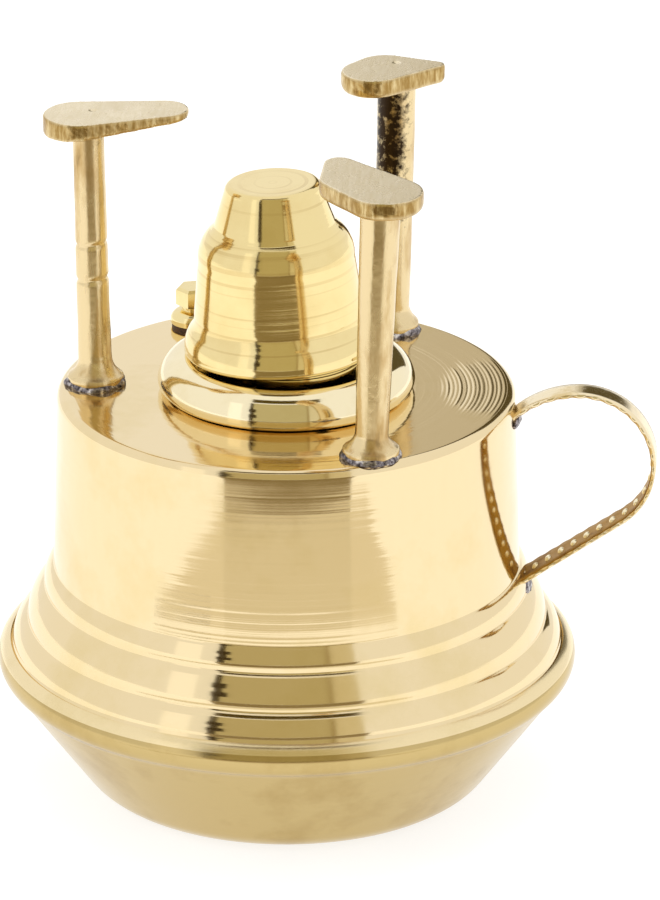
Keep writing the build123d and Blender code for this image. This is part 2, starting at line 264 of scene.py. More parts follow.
def spun_brass(name, bright, stained, roughness, ridge, depth, arc_marks=0.5, rings=0.0,
               chatter=False):
    """Yellow brass, spun on a lathe and buffed: a mirror with the tool's fine ridges left in it.
    The ridges make the edges of what it mirrors look combed; faint stains dull it in patches."""
    material, tree = blank(name)
    place = put(tree, "ShaderNodeTexCoord").outputs["Object"]
    travel = put(tree, "ShaderNodeAttribute", {"attribute_name": "turning"}).outputs["Fac"]
    # tool ridges, one every `ridge` millimetres along the section, uneven as by hand
    ridges = put(tree, "ShaderNodeTexNoise", {"noise_dimensions": "1D"},
                 {"W": travel, "Scale": 1.0 / ridge, "Detail": 2.0, "Roughness": 0.55})
    # where on the tank the ridges were left, patches about 25 mm wide
    patches = put(tree, "ShaderNodeTexNoise", None, {"Vector": place, "Scale": 40.0, "Detail": 1.0})
    left = put(tree, "ShaderNodeMapRange", None,
               {"Value": patches.outputs["Fac"], "From Min": 0.42, "From Max": 0.62,
                "To Min": 1.0 - arc_marks, "To Max": 1.0})
    height = put(tree, "ShaderNodeMath", {"operation": "MULTIPLY"},
                 {0: ridges.outputs["Fac"], 1: left.outputs["Result"]})
    # buffing scuffs 0.3 mm wide, too fine to see one by one
    scuffs = put(tree, "ShaderNodeTexNoise", None, {"Vector": place, "Scale": 3000.0, "Detail": 2.0})
    low = put(tree, "ShaderNodeBump", None,
              {"Height": scuffs.outputs["Fac"], "Strength": 0.15, "Distance": 0.0008 * MM})
    bump = put(tree, "ShaderNodeBump", None,
               {"Height": height.outputs["Value"], "Strength": 1.0, "Distance": depth * MM,
                "Normal": low.outputs["Normal"]})
    # stains about 2 cm wide
    stains = put(tree, "ShaderNodeTexNoise", None,
                 {"Vector": place, "Scale": 55.0, "Detail": 6.0, "Roughness": 0.62})
    colour = put(tree, "ShaderNodeValToRGB", {"stops": [(0.5, bright), (0.85, stained)]},
                 {"Fac": stains.outputs["Fac"]}).outputs["Color"]
    # thin dark rings painted along the deepest tool marks: painted shade in the grooves
    brown = put(tree, "ShaderNodeMapRange", None,
                {"Value": ridges.outputs["Fac"], "From Min": 0.36, "From Max": 0.44,
                 "To Min": rings, "To Max": 0.0})
    faded = put(tree, "ShaderNodeMath", {"operation": "MULTIPLY"},
                {0: brown.outputs["Result"], 1: left.outputs["Result"]})
    colour = put(tree, "ShaderNodeMix", {"data_type": "RGBA"},
                 {0: faded.outputs["Value"], 6: colour, 7: linear("A88240")}).outputs[2]
    dull = put(tree, "ShaderNodeMapRange", None,
               {"Value": stains.outputs["Fac"], "From Min": 0.4, "From Max": 0.75,
                "To Min": roughness, "To Max": roughness + 0.07})
    if chatter:
        # a patch on the flat top, 17 by 31 mm, where the tool chattered: steps 0.75 mm apart
        patch = put(tree, "ShaderNodeMapping", {"vector_type": "TEXTURE"},
                    {"Vector": place, "Location": (0.0335, 0.0030, 0.0722), "Rotation": (0, 0, 0.1),
                     "Scale": (0.0085, 0.0155, 0.004)})
        fade = put(tree, "ShaderNodeTexGradient", {"gradient_type": "SPHERICAL"},
                   {"Vector": patch.outputs["Vector"]})
        strong = put(tree, "ShaderNodeMapRange", None,
                     {"Value": fade.outputs["Fac"], "From Min": 0.02, "From Max": 0.3})
        pace = put(tree, "ShaderNodeMath", {"operation": "DIVIDE"}, {0: travel, 1: 0.75})
        step = put(tree, "ShaderNodeMath", {"operation": "PINGPONG"}, {0: pace.outputs["Value"], 1: 0.5})
        tooth = put(tree, "ShaderNodeMath", {"operation": "MULTIPLY"},
                    {0: step.outputs["Value"], 1: strong.outputs["Result"]})
        bump = put(tree, "ShaderNodeBump", None,
                   {"Height": tooth.outputs["Value"], "Strength": 1.0, "Distance": 0.03 * MM,
                    "Normal": bump.outputs["Normal"]})
    shader = put(tree, "ShaderNodeBsdfPrincipled", None, {
        "Base Color": colour, "Metallic": 1.0, "Roughness": dull.outputs["Result"],
        "Normal": bump.outputs["Normal"]})
    put(tree, "ShaderNodeOutputMaterial", None, {"Surface": shader.outputs["BSDF"]})
    return material


def cast_brass(name, bright, mid, dark, roughness, cut=0.013):
    """Sand-cast brass, filed by hand: paler and duller than the sheet, with brown in its hollows.
    Slanting file strokes break up its gloss; painted shade darkens the side of each rod that faces the
    burner."""
    material, tree = blank(name)
    place = put(tree, "ShaderNodeTexCoord").outputs["Object"]
    # file strokes about 0.7 mm apart, on a slant
    slant = put(tree, "ShaderNodeMapping", None,
                {"Vector": place, "Rotation": (0.5, 0.9, 0.3), "Scale": (1400.0, 240.0, 240.0)})
    strokes = put(tree, "ShaderNodeTexNoise", None,
                  {"Vector": slant.outputs["Vector"], "Scale": 1.0, "Detail": 3.0, "Roughness": 0.6})
    # casting pits about 1 mm wide and finer
    pits = put(tree, "ShaderNodeTexNoise", None,
               {"Vector": place, "Scale": 900.0, "Detail": 3.0, "Roughness": 0.65})
    deep = put(tree, "ShaderNodeMapRange", None,
               {"Value": pits.outputs["Fac"], "From Min": 0.3, "From Max": 0.42})
    both = put(tree, "ShaderNodeMath", {"operation": "MULTIPLY_ADD"},
               {0: strokes.outputs["Fac"], 1: 0.7, 2: deep.outputs["Result"]})
    bump = put(tree, "ShaderNodeBump", None,
               {"Height": both.outputs["Value"], "Strength": 0.8, "Distance": cut * MM})
    # tarnish in tall streaks along the rods, 6 mm wide and 20 mm tall
    tall = put(tree, "ShaderNodeMapping", None, {"Vector": place, "Scale": (170.0, 170.0, 50.0)})
    tarnish = put(tree, "ShaderNodeTexNoise", None,
                  {"Vector": tall.outputs["Vector"], "Scale": 1.0, "Detail": 6.0, "Roughness": 0.6})
    colour = put(tree, "ShaderNodeValToRGB", {"stops": [(0.5, bright), (0.63, mid), (0.8, dark)]},
                 {"Fac": tarnish.outputs["Fac"]}).outputs["Color"]
    # the head's flat top painted paler as a painted highlight, its side painted browner over the file marks
    # as painted shade, and painted shade on the rods: places kept with the mesh
    top = put(tree, "ShaderNodeAttribute", {"attribute_name": "rubbed"}).outputs["Fac"]
    rubbed = put(tree, "ShaderNodeValToRGB", {"stops": [(0.3, "E8D8B4"), (0.7, "F0E2C4")]},
                 {"Fac": strokes.outputs["Fac"]}).outputs["Color"]
    colour = put(tree, "ShaderNodeMix", {"data_type": "RGBA"}, {0: top, 6: colour, 7: rubbed}).outputs[2]
    edge = put(tree, "ShaderNodeAttribute", {"attribute_name": "filed_edge"}).outputs["Fac"]
    filed = put(tree, "ShaderNodeValToRGB", {"stops": [(0.38, "A08048"), (0.52, "BEA26C"), (0.68, "DCC694")]},
                {"Fac": strokes.outputs["Fac"]}).outputs["Color"]
    colour = put(tree, "ShaderNodeMix", {"data_type": "RGBA"}, {0: edge, 6: colour, 7: filed}).outputs[2]
    soot = put(tree, "ShaderNodeAttribute", {"attribute_name": "soot"}).outputs["Fac"]
    ragged = put(tree, "ShaderNodeMath", {"operation": "MULTIPLY_ADD"},
                 {0: pits.outputs["Fac"], 1: 1.6, 2: -0.8})
    reach = put(tree, "ShaderNodeMath", {"operation": "ADD"}, {0: soot, 1: ragged.outputs["Value"]})
    # painted shade: the rod darkens towards near black where the mark is strong, ragged by the pits
    black = put(tree, "ShaderNodeMapRange", None,
                {"Value": reach.outputs["Value"], "From Min": 0.36, "From Max": 0.8})
    colour = put(tree, "ShaderNodeMix", {"data_type": "RGBA"},
                 {0: black.outputs["Result"], 6: colour, 7: linear("34281C")}).outputs[2]
    gloss = put(tree, "ShaderNodeMapRange", None,
                {"Value": tarnish.outputs["Fac"], "From Min": 0.35, "From Max": 0.7,
                 "To Min": roughness, "To Max": roughness + 0.16})
    shader = put(tree, "ShaderNodeBsdfPrincipled", None, {
        "Base Color": colour, "Metallic": 1.0, "Roughness": gloss.outputs["Result"],
        "Normal": bump.outputs["Normal"]})
    put(tree, "ShaderNodeOutputMaterial", None, {"Surface": shader.outputs["BSDF"]})
    return material


def soft_solder(name):
    """Tin solder run round a joint with a torch: dark grey-mauve and lumpy, with painted highlights on the
    lumps and painted shade between them.
    """
    material, tree = blank(name)
    place = put(tree, "ShaderNodeTexCoord").outputs["Object"]
    grains = put(tree, "ShaderNodeTexNoise", None,
                 {"Vector": place, "Scale": 1100.0, "Detail": 4.0, "Roughness": 0.6})
    # the colour follows the same grains as the bump: lumps painted pale as highlights, hollows painted dark
    # as shade
    colour = put(tree, "ShaderNodeValToRGB",
                 {"stops": [(0.38, "3A3538"), (0.52, "8A8284"), (0.66, "D8D2CC")]},
                 {"Fac": grains.outputs["Fac"]}).outputs["Color"]
    rough = put(tree, "ShaderNodeMapRange", None,
                {"Value": grains.outputs["Fac"], "To Min": 0.5, "To Max": 0.16}).outputs["Result"]
    bump = put(tree, "ShaderNodeBump", None,
               {"Height": grains.outputs["Fac"], "Strength": 1.0, "Distance": 0.12 * MM})
    shader = put(tree, "ShaderNodeBsdfPrincipled", None, {
        "Base Color": colour, "Metallic": 1.0, "Roughness": rough, "Normal": bump.outputs["Normal"]})
    put(tree, "ShaderNodeOutputMaterial", None, {"Surface": shader.outputs["BSDF"]})
    return material


def braided_cotton(name):
    """Undyed cotton, braided: off-white yarn with fine fibres and a scorched tip."""
    material, tree = blank(name)
    place = put(tree, "ShaderNodeTexCoord").outputs["Object"]
    fibres = put(tree, "ShaderNodeTexNoise", None,
                 {"Vector": place, "Scale": 3500.0, "Detail": 4.0, "Roughness": 0.7})
    high = put(tree, "ShaderNodeSeparateXYZ", None, {"Vector": place}).outputs["Z"]
    scorch = put(tree, "ShaderNodeMapRange", None,
                 {"Value": high, "From Min": 0.0905, "From Max": 0.0935})
    yarn = put(tree, "ShaderNodeValToRGB", {"stops": [(0.3, "CFC4A8"), (0.7, "F2EBD8")]},
               {"Fac": fibres.outputs["Fac"]}).outputs["Color"]
    char = put(tree, "ShaderNodeValToRGB", {"stops": [(0.3, "241C16"), (0.7, "6B5237")]},
               {"Fac": fibres.outputs["Fac"]}).outputs["Color"]
    mixed = put(tree, "ShaderNodeMix", {"data_type": "RGBA"},
                {0: scorch.outputs["Result"], 6: yarn, 7: char})
    bump = put(tree, "ShaderNodeBump", None,
               {"Height": fibres.outputs["Fac"], "Strength": 0.7, "Distance": 0.08 * MM})
    shader = put(tree, "ShaderNodeBsdfPrincipled", None, {
        "Base Color": mixed.outputs[2], "Roughness": 0.9, "Sheen Weight": 0.3,
        "Normal": bump.outputs["Normal"]})
    put(tree, "ShaderNodeOutputMaterial", None, {"Surface": shader.outputs["BSDF"]})
    return material


def waxed_leather(name):
    """Vegetable-tanned leather washer, oil-dark: brown with a fine grain, slightly glossy."""
    material, tree = blank(name)
    place = put(tree, "ShaderNodeTexCoord").outputs["Object"]
    grain = put(tree, "ShaderNodeTexVoronoi", None, {"Vector": place, "Scale": 1800.0})
    cloud = put(tree, "ShaderNodeTexNoise", None, {"Vector": place, "Scale": 400.0, "Detail": 3.0})
    colour = put(tree, "ShaderNodeValToRGB", {"stops": [(0.35, "2B1A0E"), (0.65, "5A3A1E")]},
                 {"Fac": cloud.outputs["Fac"]}).outputs["Color"]
    bump = put(tree, "ShaderNodeBump", None,
               {"Height": grain.outputs["Distance"], "Strength": 0.6, "Distance": 0.06 * MM})
    shader = put(tree, "ShaderNodeBsdfPrincipled", None, {
        "Base Color": colour, "Roughness": 0.55, "Normal": bump.outputs["Normal"]})
    put(tree, "ShaderNodeOutputMaterial", None, {"Surface": shader.outputs["BSDF"]})
    return material


SHELL_BRASS = spun_brass("spun_brass_tank", "EDD8AC", "E2CB92", 0.075, 1.5, 0.024, 0.7, chatter=True)
# the pan wears a darker copy of the spun brass: painted shade under the tank
PAN_SHADED_BRASS = spun_brass("spun_brass_pan_shaded", "C8B078", "AC8F52", 0.16, 2.2, 0.02)
# a paler copy of the spun brass for the hem: a painted highlight band
HEM_HIGHLIGHT_BRASS = spun_brass("spun_brass_hem_highlight", "F0DCAE", "DCC68C", 0.22, 2.2, 0.01)
COLLAR_BRASS = spun_brass("spun_brass_collar", "F6E8C2", "E8D4A0", 0.07, 1.8, 0.02)
CAP_BRASS = spun_brass("spun_brass_cap", "F0DBA0", "E2C888", 0.08, 1.3, 0.045, 0.85, 0.32)
STRAP_BRASS = cast_brass("rolled_brass_strap", "F3E2BC", "E4CC98", "9A7838", 0.14)
# a darker copy of the strap brass for its inner face: painted shade
STRAP_INSIDE = cast_brass("rolled_brass_inner_shaded", "B08634", "8E641E", "4A3210", 0.4)
# a near-white copy of the strap brass for the beads: painted highlights
BEAD_HIGHLIGHT_BRASS = cast_brass("rolled_brass_beads_highlight", "FFF4D0", "F4DCA0", "D9B466", 0.3)
POST_BRASS = cast_brass("cast_brass_posts", "E4CEA0", "C4A570", "4A3418", 0.2)
FITTING_BRASS = spun_brass("turned_brass_fittings", "F0DDA4", "D4B774", 0.1, 0.6, 0.01)
SOLDER = soft_solder("soft_solder")
COTTON = braided_cotton("braided_cotton")
LEATHER = waxed_leather("waxed_leather")


# --- tank ------------------------------------------------------------------------------------
def tank_shell():
    """Spun shell: flat top with a soft shoulder, straight wall, three soft beads and a flange."""
    hole = 9.4
    foot = (40.3, 40.9)
    out = [(hole, TOP_Z)] + line((hole, TOP_Z), (37.9, TOP_Z), 40)
    shoulder, _ = swept(out[-1], (39.4, TOP_Z - 1.5), (1, 0), 12)
    out += shoulder
    out += line(out[-1], foot, 48)
    for radius, height, bulge in ((41.9, 36.8, 0.55), (44.9, 30.8, 0.8), (47.5, 26.9, 0.6)):
        out += bulged(out[-1], (radius, height), bulge, 14)
    out += line(out[-1], (48.45, 25.1), 4) + line((48.45, 25.1), (48.5, FLANGE_FOOT_Z), 3)
    section = sheet_section(softened(out, 0.45), SHEET)
    return lathe(section, 288, wobble=0.05)


def base_pan():
    """Spun pan: flat base, rounded corner, steep cone and a hem folded over the flange."""
    base_r, corner, tilt, cone_top = 28.5, 9.0, math.radians(53.5), 20.7
    out = [(0.0, 0.0)] + line((0, 0), (base_r, 0), 16)
    out += [(base_r + corner * math.sin(tilt * i / 14), corner - corner * math.cos(tilt * i / 14))
            for i in range(1, 15)]
    start = out[-1]
    rise = cone_top - start[1]
    top = (start[0] + rise / math.tan(tilt), cone_top)
    out += line(start, top, 24) + bow(top, (RIM_R, RIM_Z), (47.95, 26.5), 22)
    bm = lathe(sheet_section(out, -SHEET), 288, wobble=0.05, seed=3.0)
    # the hem above the rim wears the second finish, a paler copy of the brass: a painted highlight band
    for face in bm.faces:
        if face.calc_center_median().z > (RIM_Z + 0.9) * MM:
            face.material_index = 1
    return bm


def burner_collar():
    """Cushion-shaped ring round the burner."""
    out = [(9.2, TOP_Z)] + line((9.2, TOP_Z), (20.6, TOP_Z), 8)
    out += bow(out[-1], (21.65, TOP_Z + 0.7), (22.1, TOP_Z + 2.1), 10)
    out += bow(out[-1], (20.75, 77.25), (17.4, COLLAR_TOP_Z), 24)
    out += line(out[-1], (13.05, COLLAR_TOP_Z), 6) + line((13.05, COLLAR_TOP_Z), (13.05, 76.0), 4)
    out += line((13.05, 76.0), (9.2, 76.0), 4) + line((9.2, 76.0), (9.2, TOP_Z), 4)
    return lathe(softened(out, 0.25, 30)[:-1], 224, wobble=0.03, seed=7.0)


def snuffer_cap():
    """Bell-shaped cap, drawn upright, then set off centre and leaning as it sits."""
    out = [(15.9, 0.0)] + bow((15.9, 0.0), (16.42, 0.35), (16.5, 1.0), 6)
    out += bow((16.5, 1.0), (16.2, 2.9), (15.2, 4.8), 12)
    before, here = out[-2], out[-1]
    waist, _ = swept(here, (14.55, 7.0), (here[0] - before[0], here[1] - before[1]), 8)
    out += waist + line((14.55, 7.0), (13.45, 16.6), 20)
    out += bow((13.45, 16.6), (12.75, 20.0), (11.0, 22.2), 14)
    out += line(out[-1], (10.35, 23.0), 3) + line((10.35, 23.0), (8.35, 29.1), 14)
    out += bow((8.35, 29.1), (8.0, 29.8), (7.3, 30.1), 6) + line((7.3, 30.1), (0.0, 30.1), 10)
    # four shallow turned grooves, one low on the bell and three round the shoulder
    stepped = []
    for radius, height in softened(out, 0.5):
        groove = sum(deep * math.exp(-((height - at) / 0.25) ** 2)
                     for at, deep in ((12.0, 0.02), (16.9, 0.04), (19.6, 0.05), (22.8, 0.04)))
        stepped.append((max(radius - groove, 0.0), height))
    bm = lathe(sheet_section(stepped, -0.9), 224, wobble=0.04, seed=11.0)
    lean = math.radians(2.6)
    way = math.radians(165.0 + 90.0)
    turn = Matrix.Rotation(lean, 4, Vector((math.cos(way), math.sin(way), 0)))
    rim = COLLAR_TOP_Z + 0.06 + 16.5 * math.sin(lean)
    bm.transform(Matrix.Translation(Vector((-1.0, 0.3, rim)) * MM) @ turn)
    return bm


def braided_wick():
    """Round braid: yarns cross both ways and stand proud of each other."""
    low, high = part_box("wick")
    radius = (high.x - low.x) / 2 / MM
    foot, top = low.z / MM, high.z / MM
    section = [(0.0, foot)] + line((0.0, foot), (radius, foot), 3)
    section += line((radius, foot), (radius, top - 1.0), 150)
    section += bow((radius, top - 1.0), (radius - 0.3, top - 0.3), (radius - 1.0, top), 5)
    section += line((radius - 1.0, top), (0.0, top), 6)
    bm = lathe(section, 96, closed=False)
    for v in bm.verts:
        out = v.co.xy.length / MM
        if out < 0.5:
            continue
        a, z = math.atan2(v.co.y, v.co.x), v.co.z / MM
        strand = max(math.sin(8 * a + z * 1.9), math.sin(8 * a - z * 1.9))
        press = 0.22 * (strand - 1.0) * min(1.0, out / radius)
        v.co.x *= 1 + press / out
        v.co.y *= 1 + press / out
    return bm


piece("tank_shell_spun", tank_shell(), SHELL_BRASS, "burner_body", "spun_brass", "tank_shell")
piece("base_pan_spun", base_pan(), PAN_SHADED_BRASS, "burner_body", "pan_brass", "base_pan", second=HEM_HIGHLIGHT_BRASS)
piece("burner_collar_turned", burner_collar(), COLLAR_BRASS, "burner_body", "spun_brass", "burner_collar")
piece("snuffer_cap_spun", snuffer_cap(), CAP_BRASS, "cap", "cap_brass", "snuffer_cap")
piece("wick_braided", braided_wick(), COTTON, "wick_body", "wick_cotton", "wick", sharp=180)


# --- pot supports -----------------------------------------------------------------------------
def filed_post(side):
    """One casting with an uneven rod, tool rings, and slanting file cuts round the head's edge."""
    bm = recast("pot_support_" + side, 0.26)
    top = bm.verts.layers.float.new("rubbed")
    edge = bm.verts.layers.float.new("filed_edge")
    soot = bm.verts.layers.float.new("soot")
    foot = middle("solder_ring_" + side)
    toward_burner = Vector((-foot.x, -foot.y)).normalized()
    shake = {"left": 0.0, "front": 5.0, "back": 9.0}[side]
    head = [v for v in bm.verts if v.co.z / MM > HEAD_Z - 3.4 and v.normal.z > 0.8]
    mid = sum((v.co.xy for v in head), Vector((0, 0))) / len(head)
    swell = {"left": (1.03, 1.05), "front": (1.03, 1.07), "back": (1.05, 1.08)}[side]
    # height where the painted shade starts and how strong it is on the side that faces the burner
    low, shade_strength = {"left": (112.0, 0.35), "front": (96.0, 0.3), "back": (90.0, 0.7)}[side]
    for v in bm.verts:
        p = v.co / MM
        n = v.normal
        move = 0.07 * noise.noise(Vector((p.x * 0.22, p.y * 0.22, p.z * 0.14 + shake)))
        move += 0.012 * noise.noise(p * 1.1 + Vector((shake, 0, 0)))
        if p.z > HEAD_Z - 3.6:
            # the head's flat top is marked for its painted highlight
            if n.z > 0.8:
                v[top] = 1.0
                move *= 0.25
            elif p.z > HEAD_Z - 3.2:
                # the head's side is marked for painted shade over its file marks
                v[edge] = min(1.0, max(0.0, 1.4 * (1.0 - abs(n.z))))
                along = math.atan2(p.y - foot.y, p.x - foot.x) * 7.0
                cut = math.sin((along + p.z * 1.2) * 4.2 + 2.0 * noise.noise(p * 0.5))
                move -= 0.035 * max(0.0, cut) * (1.0 - abs(n.z))
            reach = min(1.0, (p.z - HEAD_Z + 3.6) / 0.8)
            v.co.x += (v.co.x - mid.x) * (swell[0] - 1) * reach
            v.co.y += (v.co.y - mid.y) * (swell[1] - 1) * reach
            v.co.z += 0.0001 * max(0.0, n.z) - 0.0004 * max(0.0, -n.z) * reach
        else:
            # painted shade: darker on the side that faces the burner, and darker still where the rod meets
            # the tank top
            facing = max(0.0, n.xy.dot(toward_burner) + 0.25)
            v[soot] = shade_strength * facing * min(1.0, max(0.0, (p.z - low) / 6.0))
            v[soot] += 0.25 * max(0.0, 1 - (p.z - TOP_Z) / 3.0)
            if side == "left" and p.z > TOP_Z + 6.0:
                for at, deep in ((98.0, 0.22), (91.6, 0.28)):
                    move -= deep * math.exp(-((p.z - at - 0.3 * n.x) / 0.45) ** 2)
        v.co += n * (move + 0.05) * MM
    highest = max(v.co.z for v in bm.verts)
    for v in bm.verts:
        v.co.z = min(v.co.z, HEAD_Z * MM + 0.00002) if highest > HEAD_Z * MM else v.co.z
    return bm


def solder_ring(side):
    """Solder banked round a foot, run unevenly."""
    at = middle("solder_ring_" + side)
    low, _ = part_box("solder_ring_" + side)
    section = [(0.0, 0.0)] + line((0, 0), (5.3, 0), 5) + bow((5.3, 0), (5.2, 0.45), (4.6, 1.05), 8)
    section += line((4.6, 1.05), (3.4, 1.0), 3) + line((3.4, 1.0), (0.0, 0.5), 2)
    bm = lathe(section, 96, closed=False)
    for v in bm.verts:
        out = v.co.xy.length / MM
        lump = noise.noise(Vector((v.co.x * 420 + at.x, v.co.y * 420, v.co.z * 500)))
        fine = noise.noise(Vector((v.co.x * 1300, v.co.y * 1300 + at.y, v.co.z * 900)))
        if out > 3.5:
            grow = 1 + (0.55 * lump + 0.16 * fine - 0.05) / out * min(1.0, (out - 3.4))
            v.co.x *= grow
            v.co.y *= grow
            v.co.z *= 1 + 0.3 * lump
    bm.transform(Matrix.Translation(Vector((at.x * MM, at.y * MM, low.z))))
    return bm


def solder_smear(node):
    """Solder run into a joint of the strap, built up in lumps."""
    bm = recast(node, 0.16)
    for v in bm.verts:
        v.co += v.normal * (0.22 * noise.noise(v.co / MM * 1.1) + 0.08) * MM
    return bm


for side in ("left", "front", "back"):
    piece("pot_support_" + side + "_cast", filed_post(side), POST_BRASS, "burner_body", "cast_brass",
          "pot_support_" + side)
    piece("solder_ring_" + side + "_run", solder_ring(side), SOLDER, "burner_body", "solder",
          "solder_ring_" + side)
for end in ("top", "low"):
    piece("handle_solder_" + end + "_run", solder_smear("handle_solder_" + end), SOLDER,
          "burner_body", "solder", "handle_solder_" + end)


# --- handle -----------------------------------------------------------------------------------
STRAP = 0.8


BEAD_STEP = 2.65
BEAD_SIZES = {"Bead step": BEAD_STEP * MM, "Bead length": 0.66 * MM, "Bead width": 1.25 * MM,
              "Bead height": 0.45 * MM}


def strap_line():
    """The strap's outer face from its top end to its low end, in the plane of the handle."""
    top, crest, out, bend, low = (38.7, 68.9), (50.8, 73.85), (63.8, 60.8), (58.4, 50.4), (39.6, 37.5)
    rise, _ = swept(crest, top, (-1, 0), 30)
    over, leaving = swept(crest, out, (1, 0), 44)
    down, _ = swept(out, bend, leaving, 26)
    return rise[::-1] + [crest] + over + down + line(bend, low, 44)


STRAP_TOP_W, STRAP_LOW_W = 5.4, 7.6
STRAP_TOP_Z, STRAP_LOW_Z = 74.85, 35.5


def strap_width(z):
    """The strap widens evenly towards its low end."""
    return STRAP_TOP_W + (STRAP_LOW_W - STRAP_TOP_W) * (STRAP_TOP_Z - z) / (STRAP_TOP_Z - STRAP_LOW_Z)


def strap_frames():
    """Each point of the strap's line with the way in towards the loop, and the travel so far."""
    points = strap_line()
    out, travel = [], 0.0
    for i, here in enumerate(points):
        a, b = Vector(points[max(i - 1, 0)]), Vector(points[min(i + 1, len(points) - 1)])
        along = (b - a).normalized()
        if i:
            travel += math.dist(points[i - 1], here)
        out.append((Vector(here), Vector((along.y, -along.x)), along, travel))
    return out


def handle_strap():
    """Flat strap with rounded edges; its inner edge is nibbled where each bead was rolled in."""
    bm = bmesh.new()
    rings = []
    for p, inward, _, travel in strap_frames():
        half = strap_width(p.y) / 2 - 0.03
        nibble = 0.34 * math.sin(math.pi * travel / BEAD_STEP) ** 2
        section = [(-half + 0.25, 0.0), (-half * 0.5, -0.02), (0, -0.03), (half * 0.5, -0.02),
                   (half - 0.25, 0.0), (half, 0.22), (half - nibble, STRAP - 0.15),
                   (half - 0.3 - nibble, STRAP), (half * 0.45, STRAP - 0.05), (0, STRAP - 0.08),
                   (-half * 0.45, STRAP - 0.05), (-half + 0.3 + nibble, STRAP),
                   (-half + nibble, STRAP - 0.15), (-half, 0.22)]
        rings.append([bm.verts.new(((p.x + inward.x * d) * MM, across * MM, (p.y + inward.y * d) * MM))
                      for across, d in section])
    for low, high in zip(rings, rings[1:]):
        for k in range(len(low)):
            j = (k + 1) % len(low)
            face = bm.faces.new((low[k], low[j], high[j], high[k]))
            # stretches 6 to 11 of the section are the inner face, which wears the darker copy of the brass as
            # painted shade
            face.material_index = 1 if 6 <= k <= 11 else 0
    bm.faces.new(rings[0])
    bm.faces.new(rings[-1][::-1])
    bmesh.ops.recalc_face_normals(bm, faces=bm.faces)
    return bm


def bead_tree():
    """Geometry nodes: a pressed bead at every step along a line, turned along it."""
    tree = bpy.data.node_groups.new("strap_beads", "GeometryNodeTree")
    face = tree.interface
    face.new_socket("Line", in_out="INPUT", socket_type="NodeSocketGeometry")
    for label in BEAD_SIZES:
        face.new_socket(label, in_out="INPUT", socket_type="NodeSocketFloat")
    face.new_socket("Bead finish", in_out="INPUT", socket_type="NodeSocketMaterial")
    face.new_socket("Beads", in_out="OUTPUT", socket_type="NodeSocketGeometry")
    given = put(tree, "NodeGroupInput").outputs
    curve = put(tree, "GeometryNodeMeshToCurve", None, {"Mesh": given["Line"]})
    steps = put(tree, "GeometryNodeResampleCurve", {"mode": "LENGTH"},
                {"Curve": curve.outputs["Curve"], "Length": given["Bead step"]})
    ball = put(tree, "GeometryNodeMeshIcoSphere", None, {"Radius": 1.0, "Subdivisions": 2})
    along = put(tree, "GeometryNodeInputTangent")
    turn = put(tree, "FunctionNodeAlignRotationToVector", {"axis": "X", "pivot_axis": "Y"},
               {"Vector": along.outputs["Tangent"]})
    size = put(tree, "ShaderNodeCombineXYZ", None,
               {"X": given["Bead length"], "Y": given["Bead width"], "Z": given["Bead height"]})
    beads = put(tree, "GeometryNodeInstanceOnPoints", None,
                {"Points": steps.outputs["Curve"], "Instance": ball.outputs["Mesh"],
                 "Rotation": turn.outputs["Rotation"], "Scale": size.outputs["Vector"]})
    real = put(tree, "GeometryNodeRealizeInstances", None, {"Geometry": beads.outputs["Instances"]})
    dressed = put(tree, "GeometryNodeSetMaterial", None,
                  {"Geometry": real.outputs["Geometry"], "Material": given["Bead finish"]})
    put(tree, "NodeGroupOutput", None, {"Beads": dressed.outputs["Geometry"]})
    return tree


def strap_beads():
    """The beads rolled into the strap's inner face, as one mesh."""
    frames = [f for f in strap_frames() if f[3] > 3.0]
    points = [((p.x + n.x * (STRAP - 0.12)) * MM, 0.0, (p.y + n.y * (STRAP - 0.12)) * MM)
              for p, n, _, _ in frames[:-4]]
    guide = bpy.data.meshes.new("bead_line")
    guide.from_pydata(points, [(i, i + 1) for i in range(len(points) - 1)], [])
    holder = bpy.data.objects.new("bead_line", guide)
    bpy.context.scene.collection.objects.link(holder)
    tree = bead_tree()
    beading = holder.modifiers.new("beading", "NODES")
    beading.node_group = tree
    sockets = {item.name: item.identifier for item in tree.interface.items_tree}
    for label, size in BEAD_SIZES.items():
        beading[sockets[label]] = size
    beading[sockets["Bead finish"]] = BEAD_HIGHLIGHT_BRASS
    graph = bpy.context.evaluated_depsgraph_get()
    made = bpy.data.meshes.new_from_object(holder.evaluated_get(graph))
    holder.modifiers.remove(beading)
    bpy.data.objects.remove(holder)
    made.materials.clear()
    return made


piece("handle_strap_rolled", handle_strap(), STRAP_BRASS, "burner_body", "strap_brass",
      "handle_strap", sharp=60, second=STRAP_INSIDE)
settled("handle_strap_beads", strap_beads(), BEAD_HIGHLIGHT_BRASS, "burner_body", "strap_brass", sharp=180)


